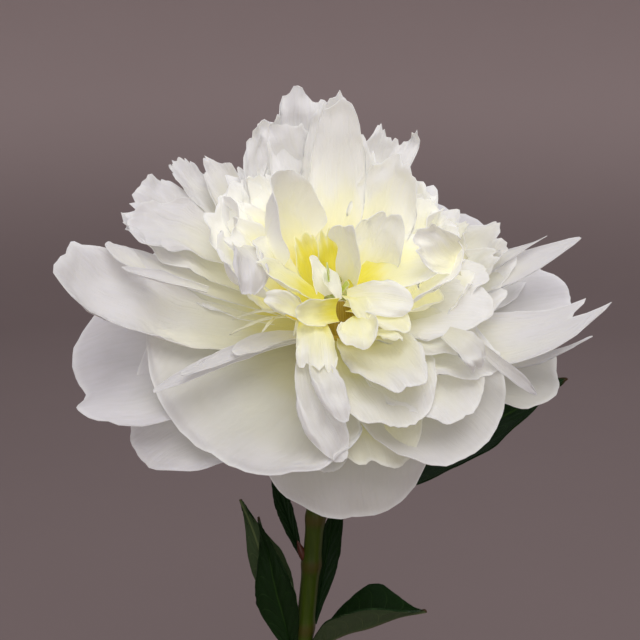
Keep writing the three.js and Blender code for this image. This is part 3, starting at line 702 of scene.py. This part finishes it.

# %% [markdown]
# A peony's petal is matt, veined from its base, and thin enough to glow. Light that passes petal after
# petal would take very many bounces, so a faint light in the petal's own tint stands for it, brighter at
# the margins as a painted highlight on the rims. Each kind of petal has its own reach of yellow, in
# centimetres from the root, and its own white, greyer in the outer kinds as painted shade.

# %% The petal finish
SCATTER = 0.35
SCATTER_DEPTH = 1.2 * MM
PASSED_LIGHT = 0.12
HEART_PASSED_LIGHT = 0.17
VEIN_RELIEF = 0.4 * MM
# Painted highlight: a petal's margin is whitened and glows more, as a rim that catches the light.
PAINTED_RIM_HIGHLIGHT = (0.95, 0.95, 0.92)
PAINTED_RIM_GLOW = (1, 1, 0.96)


def petal_finish(name, white, cream, yellow, yellow_cm, cream_cm, passed_light=PASSED_LIGHT):
    finish = Finish(name)
    growth = finish.growth()
    along = finish.along(growth)
    veins = finish.noise(growth, (34, 0.6, 1), detail=4, roughness=0.6)
    blotches = finish.noise(growth, (3, 0.8, 1), detail=2) - 0.5
    base = finish.mix(finish.ease(along + blotches, yellow_cm * 0.4, yellow_cm), yellow, cream)
    tint = finish.mix(finish.ease(along + blotches * 2, yellow_cm * 0.9, cream_cm), base, white)
    tone = finish.mix(finish.ease(veins, 0.35, 0.75) * 0.2, tint, tuple(c * 0.88 for c in cream))
    # rim marks the margin for that painted highlight, in colour and in glow.
    rim = finish.ease(finish.margin(), 0.96, 1) * (blotches + 0.7)
    return finish.surface(
        finish.mix(rim * 0.4, tone, PAINTED_RIM_HIGHLIGHT), 0.58, Normal=finish.bump(veins, VEIN_RELIEF, 0.75),
        Specular_IOR_Level=0.25, Subsurface_Weight=SCATTER, Subsurface_Scale=SCATTER_DEPTH,
        Subsurface_Radius=(1, 0.9, 0.7), Emission_Color=finish.mix(rim * 0.8, tint, PAINTED_RIM_GLOW),
        Emission_Strength=passed_light)


# Painted shade: the outer kinds get greyer whites than the inner ones, guards and sides most, though the
# petals are all one white. The guards' creamy base is darkened to an olive grey and the skirt's partly, as
# painted shade in their cups over the base's own cream.
guard_shaded_white = petal_finish(
    "guard_petal_shaded_white", (0.74, 0.715, 0.73), (0.6, 0.59, 0.52), (0.58, 0.56, 0.4), 2.5, 6.5)
side_shaded_white = petal_finish(
    "side_petal_shaded_white", (0.72, 0.7, 0.705), (0.8, 0.78, 0.62), (0.8, 0.75, 0.32), 2.8, 6)
crown_white = petal_finish(
    "crown_petal_white", (0.83, 0.815, 0.81), (0.88, 0.86, 0.68), (0.88, 0.79, 0.22), 2.6, 4.6)
skirt_shaded_white = petal_finish(
    "skirt_petal_shaded_white", (0.82, 0.805, 0.785), (0.74, 0.72, 0.56), (0.7, 0.66, 0.28), 2.6, 5)
inner_white = petal_finish(
    "inner_petal_white", (0.93, 0.92, 0.9), (0.94, 0.91, 0.62), (0.9, 0.78, 0.1), 2.2, 4.4,
    HEART_PASSED_LIGHT)
heart_cream = petal_finish(
    "heart_petal_cream", (0.92, 0.91, 0.84), (0.9, 0.87, 0.52), (0.8, 0.71, 0.08), 1.6, 3.2,
    HEART_PASSED_LIGHT)
# Its dark ochre root is partly the stamens' own yellow and partly painted shade for the crack.
filament_ochre_and_shade = petal_finish(
    "filament_ochre_and_shade", (0.9, 0.87, 0.62), (0.8, 0.72, 0.28), (0.26, 0.17, 0), 1.1, 1.6)
green_tip = petal_finish("green_tip", (0.66, 0.78, 0.24), (0.6, 0.72, 0.18), (0.52, 0.66, 0.1), 0.2, 0.5)

# %% [markdown]
# Each list becomes one object, so that its petals share a finish and the fineness of their grids. Each
# list counts its seeds from its own number, so that a new petal changes nothing in the next list.

# %% Grow the petals
PETAL_THICKNESS = 0.2


def flower_blade(habit, seed):
    """The blade of a petal or sepal, in the bloom's own frame."""
    tip = Vector(habit["tip"])
    bearing = radians(habit["bearing"]) if "bearing" in habit else atan2(tip.y, tip.x)
    outward = Vector((cos(bearing), sin(bearing), 0))
    radius, height = habit["root"]
    root = Vector(habit["start"]) if "start" in habit else outward * radius + Vector((0, 0, height))
    facing = Vector(habit.get("looks", (0, 0, 1))) - outward * habit.get("inward", 0.55)
    return Blade(root, tip, facing, habit, seed)


def grow(name, petals, columns, rows, material, first_seed):
    bm = bmesh.new()
    for number, habit in enumerate(petals):
        blade = flower_blade(habit, first_seed + number)
        add_blade(bm, blade, columns, rows, number, blade.length * MM / CM, habit.get("pale", 0),
                  bloom_place)
    piece = thicken(new_piece(name, bm, material), PETAL_THICKNESS)
    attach(piece, "root")
    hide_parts("bloom")
    print(name, len(petals), "petals,", len(piece.data.polygons), "faces")


grow("guard_petals", guard_petals, 34, 34, guard_shaded_white, 3)
grow("side_petals", side_petals, 18, 30, side_shaded_white, 40)
grow("flank_petals", flank_petals, 36, 26, side_shaded_white, 70)
grow("crown_petals", crown_petals, 36, 26, crown_white, 80)
grow("skirt_petals", skirt_petals, 34, 26, skirt_shaded_white, 120)
grow("inner_petals", inner_petals, 26, 22, inner_white, 160)
grow("heart_petals", heart_petals, 22, 20, heart_cream, 240)
grow("filaments", filaments, 5, 14, filament_ochre_and_shade, 280)
grow("green_tips", green_tips, 5, 14, green_tip, 290)

# %% [markdown]
# ## Core and carpels
# The petals stand on a fleshy disc, ochre where it shows. On it sit the carpels, pale green and downy.
# They are turned shapes, bent after the spin, so that each leans away from its neighbours.

# %% Core and carpels
CORE_PROFILE = [(0, -26), (8.6, -26), (9.6, -24), (10.2, -20.5), (9.6, -16), (8.2, -13), (6.2, -10.8),
                (3, -9.9), (0, -9.8)]
CARPEL_PROFILE = [(0, 0), (1.5, 0), (2.1, 1.2), (2.2, 3), (1.9, 5), (1.3, 7), (0.8, 8.6), (0.65, 9.6),
                  (0.9, 10.2), (0.6, 10.8), (0, 11)]
CARPEL_RING = 1.6
CARPEL_FOOT = -10
CARPEL_HOOK = 22


def grained_finish(name, scale, dark, light, roughness, depth, detail=4, **more):
    """A finish whose tone and relief both follow one fine grain."""
    finish = Finish(name)
    grain = finish.noise(finish.place(), scale, detail)
    tone = finish.mix(grain, dark, light)
    return finish.surface(tone, roughness, Normal=finish.bump(grain, depth * MM), **more)


def carpel_finish():
    finish = Finish("carpel_green")
    down = finish.noise(finish.place(), 2600, detail=5, roughness=0.7)
    tone = finish.mix(finish.ease(down, 0.35, 0.7), (0.5, 0.56, 0.12), (0.8, 0.82, 0.45))
    return finish.surface(tone, 0.7, Normal=finish.bump(down, 0.2 * MM), Sheen_Weight=0.4,
                          Subsurface_Weight=0.15, Subsurface_Scale=0.8 * MM)


core_ochre = grained_finish("core_ochre", 900, (0.62, 0.42, 0.03), (0.78, 0.62, 0.12), 0.6, 0.3,
                            Subsurface_Weight=0.15, Subsurface_Scale=1 * MM)
core = turned("petal_core", CORE_PROFILE, 40, core_ochre, bloom_place)
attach(core, "root")
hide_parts("bloom")

carpel_mesh = bmesh.new()
stand = Matrix.Translation(Vector((CARPEL_RING, 0, CARPEL_FOOT)) * MM)
for bearing in (90, 210, 330):
    add_spun(carpel_mesh, CARPEL_PROFILE, 20, Matrix.Rotation(radians(bearing), 4, "Z") @ stand)
for vert in carpel_mesh.verts:
    rise = vert.co.z / MM - CARPEL_FOOT
    outward = Vector((vert.co.x, vert.co.y, 0)).normalized()
    vert.co += outward * rise ** 3 / CARPEL_HOOK ** 2 * MM
    vert.co = bloom_place @ vert.co
carpels = new_piece("carpels_downy", carpel_mesh, carpel_finish())
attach(carpels, "root")
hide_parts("carpels")
print("core and carpels:", len(core.data.polygons), "and", len(carpels.data.polygons), "faces")

# %% [markdown]
# ## Calyx
# Under the petals a green cup holds the bloom, with five sepals bent back from it. The cup is turned and
# the sepals are blades of the same formula, short and leathery, with a reddish rim.

# %% Calyx
CALYX_PROFILE = [(0, -37), (3, -36.8), (4.2, -35), (6.2, -32.2), (8, -29.5), (9, -27), (8.6, -26.2),
                 (0, -26.2)]
SEPAL = dict(root=(6, -30), bow=1.5, end=0.5, foot=0.6, widest=0.45, wave=0.3, crumple=0.3,
             crease=0.1, teeth=0)
SEPAL_BEARINGS = (20, 95, 160, 235, 305)
SEPAL_REACHES = (22, 19)
SEPAL_THICKNESS = 0.9


def sepal_finish():
    finish = Finish("sepal_green")
    growth = finish.growth()
    veins = finish.noise(growth, (22, 2, 1))
    tone = finish.mix(veins, (0.16, 0.22, 0.06), (0.3, 0.36, 0.13))
    rim = finish.ease(finish.from_rib(growth), 0.7, 1)
    tone = finish.mix(rim * 0.6, tone, (0.3, 0.09, 0.05))
    return finish.surface(tone, 0.5, Normal=finish.bump(veins, 0.3 * MM))


calyx_mesh = bmesh.new()
for number, bearing in enumerate(SEPAL_BEARINGS):
    angle = radians(bearing)
    reach = SEPAL_REACHES[number % 2]
    sepal = petal(SEPAL, (reach * cos(angle), reach * sin(angle), -31), 13)
    add_blade(calyx_mesh, flower_blade(sepal, 200 + number), 16, 18, number, place=bloom_place)
sepals = thicken(new_piece("sepals", calyx_mesh, sepal_finish()), SEPAL_THICKNESS)
cup_green = grained_finish("calyx_cup_green", 500, (0.2, 0.27, 0.07), (0.33, 0.38, 0.14), 0.5, 0.2)
cup = turned("calyx_cup", CALYX_PROFILE, 40, cup_green, bloom_place)
for piece in (sepals, cup):
    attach(piece, "root")
    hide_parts("calyx")
print("sepals:", len(SEPAL_BEARINGS))

# %% [markdown]
# ## Stem
# The stem is a ribbed tube that swells where a leaf grows from it. A grid is rolled up round the points
# that the CAD stem passes through, its seam is merged and its ends are closed. In the axil of one leaf
# sits a small scaly bud.

# %% Stem
STEM_POINTS = [(-6, 12, 6.9), (-3.6, 4, 80), (-0.9, -4.75, 155), (0.8, -5.5, 173.7), (3.4, -6.6, 201.9),
               (4.7, -7, 217.4), (8, -8, 241), (9.8, -11.4, 255.6), (10, -17.2, 263.8)]
STEM_FOOT = STEM_POINTS[0][2]
STEM_TOP = STEM_POINTS[-1][2]
STEM_RADIUS = 2.8
STEM_RIBS = 5
RIB_DEPTH = 0.035
RIB_TWIST = 40
NODE_HEIGHTS = (171, 178, 199.5, 215)
NODE_SWELLING = 0.5
NODE_LENGTH = 2.6


def curve(t, here, there, leaving, arriving):
    """A point on the smooth line between two points, from its directions at both."""
    return ((2 * t ** 3 - 3 * t ** 2 + 1) * here + (t ** 3 - 2 * t ** 2 + t) * leaving
            + (3 * t ** 2 - 2 * t ** 3) * there + (t ** 3 - t ** 2) * arriving)


def stem_at(height):
    """The middle of the stem at a height, on a smooth line through its points."""
    points = [Vector(point) for point in STEM_POINTS]
    last = len(points) - 2
    i = min(last, max(0, sum(point.z <= height for point in points) - 1))
    slopes = []
    for k in (i, i + 1):
        before, after = points[max(0, k - 1)], points[min(last + 1, k + 1)]
        slopes.append((after - before) / (after.z - before.z))
    span = points[i + 1].z - points[i].z
    t = (height - points[i].z) / span
    return curve(t, points[i], points[i + 1], span * slopes[0], span * slopes[1])


def stem_finish():
    finish = Finish("stem_skin")
    place = finish.place()
    streaks = finish.noise(place, (900, 900, 60), detail=4)
    blush = finish.noise(place, (90, 90, 30), detail=2)
    green = finish.mix(streaks, (0.036, 0.068, 0.004), (0.085, 0.13, 0.009))
    tone = finish.mix(finish.ease(blush, 0.55, 0.8) * 0.25, green, (0.12, 0.06, 0.02))
    height = finish.height()
    for node in NODE_HEIGHTS:
        near = finish.ease(abs(height - node * MM), 3.2 * MM, 0.6 * MM)
        tone = finish.mix(near * 0.4, tone, (0.12, 0.05, 0.02))
    return finish.surface(tone, 0.42, Normal=finish.bump(streaks, 0.15 * MM), Specular_IOR_Level=0.25,
                          Coat_Weight=0.08, Coat_Roughness=0.3)


stem_mesh = bmesh.new()
grid = bmesh.ops.create_grid(stem_mesh, x_segments=30, y_segments=320, size=1)
for vert in grid["verts"]:
    angle = vert.co.x * pi
    height = STEM_FOOT + (STEM_TOP - STEM_FOOT) * (vert.co.y + 1) / 2
    middle = stem_at(height)
    ahead = (stem_at(min(height + 1, STEM_TOP)) - stem_at(height - 1)).normalized()
    side = Vector((0, 1, 0)).cross(ahead).normalized()
    radius = STEM_RADIUS * (1 + RIB_DEPTH * cos(STEM_RIBS * angle + height / RIB_TWIST))
    for node in NODE_HEIGHTS:
        radius += NODE_SWELLING * exp(-((height - node) / NODE_LENGTH) ** 2)
    vert.co = (middle + (side * cos(angle) + ahead.cross(side) * sin(angle)) * radius) * MM
bmesh.ops.remove_doubles(stem_mesh, verts=stem_mesh.verts, dist=SAME_PLACE)
bmesh.ops.holes_fill(stem_mesh, edges=[edge for edge in stem_mesh.edges if edge.is_boundary], sides=0)
bmesh.ops.recalc_face_normals(stem_mesh, faces=stem_mesh.faces)
for face in stem_mesh.faces:
    face.smooth = len(face.verts) == 4
stem = new_piece("stem_skin", stem_mesh, stem_finish())
print("stem leans", round((stem_at(260) - stem_at(10)).xy.length, 1), "mm from foot to bloom")

# %% The bud in the axil
BUD_NODE = 2
BUD_PLACE = (-3.2, -0.5, 5)
BUD_TILT = -0.35
BUD_PROFILE = [(0, -3.5), (1.1, -3.2), (1.35, -1.8), (1.1, 0.2), (0.6, 2), (0, 3.5)]

axil = stem_at(NODE_HEIGHTS[BUD_NODE]) + Vector(BUD_PLACE)
bud_place = Matrix.Translation(axil * MM) @ Matrix.Rotation(BUD_TILT, 4, "Y")
bud_red = grained_finish("bud_scales", (500, 500, 200), (0.07, 0.015, 0.012), (0.17, 0.05, 0.02), 0.45,
                         0.2, detail=3)
bud = turned("stem_bud", BUD_PROFILE, 16, bud_red, bud_place)
for piece in (stem, bud):
    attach(piece, "root")
    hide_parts("stem")
print("bud at a height of", round(axil.z), "mm")

# %% [markdown]
# ## Leaves
# A peony's leaf is folded a little along its rib and puffed up between its side veins, for which the
# formula has the words fold, rib and quilt. The upper face is dark green and the lower one grey-green,
# so the shell's back takes the next material slot.

# %% Leaves
LEAF = dict(widest=0.45, foot=0.12, end=0.12, cup=0.35, wave=0.7, blunt=0.45, fold=0.16,
            rib=0.5, quilt=0.45, crumple=0.5, crease=0, frill=0, margin=0.1, teeth=0)
# Root, tip, the side that the upper face looks to, and what differs from the habit.
LEAVES = {
    "leaf_left_front": ((-2.2, -8.2, 168.5), (-12.6, -14, 218), (-0.3, -1, 0.2), dict(width=13, bow=1)),
    "leaf_left_back": ((-2.2, -5.6, 177), (-19, -4, 220), (0.2, 1, -0.3), dict(width=12, bow=-1)),
    "leaf_upper_left": ((0.8, -5.6, 200), (-10, 1, 236), (0.3, -1, 0.2), dict(width=5, bow=-1, sway=2)),
    "leaf_behind_stem": ((4.2, -4.2, 178.5), (13.5, 3.5, 226), (0.3, -1, 0), dict(width=8, bow=-2.5)),
    "leaf_low_right": ((3.4, -6.2, 171), (37.5, -28, 194), (0.1, -0.2, 1),
                       dict(width=18, bow=4, sway=-5, widest=0.65, fold=0.85)),
    "leaf_long_right": ((6.8, -6.2, 215.2), (82, 0, 258), (-0.3, -0.6, 0.9),
                        dict(width=21, bow=-8, sway=3, wave=1, widest=0.6, end=0.35)),
}
LEAF_THICKNESS = 0.55


def leaf_finish(name, dark, pale, rib_colour, roughness):
    finish = Finish(name)
    growth = finish.growth()
    from_rib = finish.from_rib(growth)
    along = finish.along(growth)
    mottle = finish.noise(growth, (6, 6, 1), detail=4)
    netting = finish.noise(growth, (60, 160, 1))
    ladder = ((along * SIDE_VEINS - from_rib * VEIN_SLANT) * pi).math("SINE")
    veins = 1 - finish.ease(abs(ladder), 0, 0.16)
    rib = 1 - finish.ease(from_rib, 0.02, 0.09)
    tone = finish.mix(mottle * 0.7 + netting * 0.3, dark, pale)
    tone = finish.mix(veins * 0.35, tone, rib_colour)
    tone = finish.mix(rib * 0.8, tone, rib_colour)
    at_tip = finish.ease(along, 0.985, 1) * (1 - finish.ease(from_rib, 0.2, 0.5))
    tone = finish.mix(at_tip * 0.6, tone, (0.1, 0.035, 0.02))
    relief = finish.bump(netting - veins * 0.6, 0.25 * MM, 0.6)
    return finish.surface(tone, roughness, Normal=relief, Specular_IOR_Level=0.15, Coat_Weight=0.03,
                          Coat_Roughness=0.3)


leaf_top = leaf_finish("leaf_upper_face", (0.004, 0.018, 0.003), (0.012, 0.042, 0.007),
                       (0.03, 0.08, 0.012), 0.4)
leaf_back = leaf_finish("leaf_lower_face", (0.05, 0.09, 0.035), (0.09, 0.14, 0.055),
                        (0.18, 0.24, 0.09), 0.55)
for number, (name, (root, tip, facing, habit)) in enumerate(LEAVES.items()):
    leaf_mesh = bmesh.new()
    add_blade(leaf_mesh, Blade(root, tip, facing, {**LEAF, **habit}, 300 + number), 40, 90, number)
    piece = new_piece(name + "_blade", leaf_mesh, leaf_top, leaf_back)
    thicken(piece, LEAF_THICKNESS, back_slot=1)
    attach(piece, "root")
    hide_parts(name)
print("leaves:", len(LEAVES))

# %% [markdown]
# ## Vase and water
# The vase is below the picture's edge, so it is finished plainly: a thrown bottle with a satin celadon
# glaze that thins over its rim and stops short of a bare clay foot. A curve through the CAD profile's
# points is spun, and the potter's finger marks are a faint wave in its radius. The water keeps its CAD
# solid and gets a clear finish.

# %% Vase
VASE_POINTS = [(28, 0), (33, 9), (39, 42), (27, 84), (12.5, 128), (15, 153.8)]
VASE_WALL = 4.5
VASE_FLOOR = 6
VASE_TOP = 155
LIP_ROUNDING = 1.2
FINGER_MARKS = 0.07
FOOT_BAND = 3.5


def smooth_line(points, steps):
    """Points on the smooth line through the given ones."""
    line = []
    spots = [Vector(point) for point in points]
    for i in range(len(spots) - 1):
        before, here, there, after = (spots[min(len(spots) - 1, max(0, k))] for k in range(i - 1, i + 3))
        for step in range(steps):
            line.append(curve(step / steps, here, there, (there - before) / 2, (after - here) / 2))
    return line + [spots[-1]]


def glaze_finish():
    finish = Finish("celadon_glaze")
    place = finish.place()
    height = finish.height()
    cloud = finish.noise(place, 22, detail=4)
    specks = finish.ease(finish.noise(place, 420, detail=2), 0.66, 0.72)
    tone = finish.mix(cloud, (0.33, 0.4, 0.35), (0.47, 0.53, 0.46))
    thin = finish.ease(height, (VASE_TOP - 4) * MM, VASE_TOP * MM)
    tone = finish.mix(thin * 0.75, tone, (0.42, 0.3, 0.19))
    tone = finish.mix(specks * 0.6, tone, (0.16, 0.13, 0.09))
    ragged_foot = height + finish.noise(place, 60) * 3 * MM
    bare = 1 - finish.ease(ragged_foot, (FOOT_BAND + 1.2) * MM, (FOOT_BAND + 1.6) * MM)
    clay = finish.mix(finish.noise(place, 600, detail=4), (0.3, 0.22, 0.15), (0.42, 0.33, 0.24))
    relief = finish.bump(cloud * 0.4 + specks * 0.3, 0.4 * MM, 0.4)
    return finish.surface(finish.mix(bare, tone, clay), bare * 0.55 + cloud * 0.1 + 0.2, Normal=relief,
                          Coat_Weight=0.25, Coat_Roughness=0.12)


outside = [(point.x + FINGER_MARKS * sin(point.y * 1.1) * ease(point.y, 6, 20), point.y)
           for point in smooth_line(VASE_POINTS, 16)]
inside = [(radius - VASE_WALL, height) for radius, height in outside if height > VASE_FLOOR + 4]
lip_radius, lip_height = VASE_POINTS[-1]
turns = [radians(angle) for angle in range(15, 91, 15)]
rounding = [(LIP_ROUNDING * (1 - cos(turn)), lip_height + LIP_ROUNDING * sin(turn))
            for turn in turns]
lip = [(lip_radius - step, height) for step, height in rounding]
inner_lip = [(inside[-1][0] + step, height) for step, height in reversed(rounding)]
hollow = inside[0][0]
profile = [(0, 0), (27.2, 0), (27.9, 0.5), *outside[1:], *lip, *inner_lip, *reversed(inside),
           (hollow - 2, VASE_FLOOR + 1.5), (hollow - 5, VASE_FLOOR + 0.2), (0, VASE_FLOOR)]
vase = turned("vase_glazed", profile, SPIN_STEPS, glaze_finish())
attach(vase, "root")
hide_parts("vase")
print("vase faces:", len(vase.data.polygons))

# %% Water
def water_finish():
    finish = Finish("clear_water")
    ripple = finish.noise(finish.place(), 60)
    tone = finish.mix(ripple * 0.2, (0.93, 0.97, 0.96), (0.85, 0.93, 0.9))
    return finish.surface(tone, 0.03, Transmission_Weight=1, IOR=1.333,
                          Normal=finish.bump(ripple, 0.1 * MM, 0.2))


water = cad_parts["water"]
clear_water = water_finish()
for slot in water.material_slots:
    slot.material = clear_water
print("water slots:", len(water.material_slots))
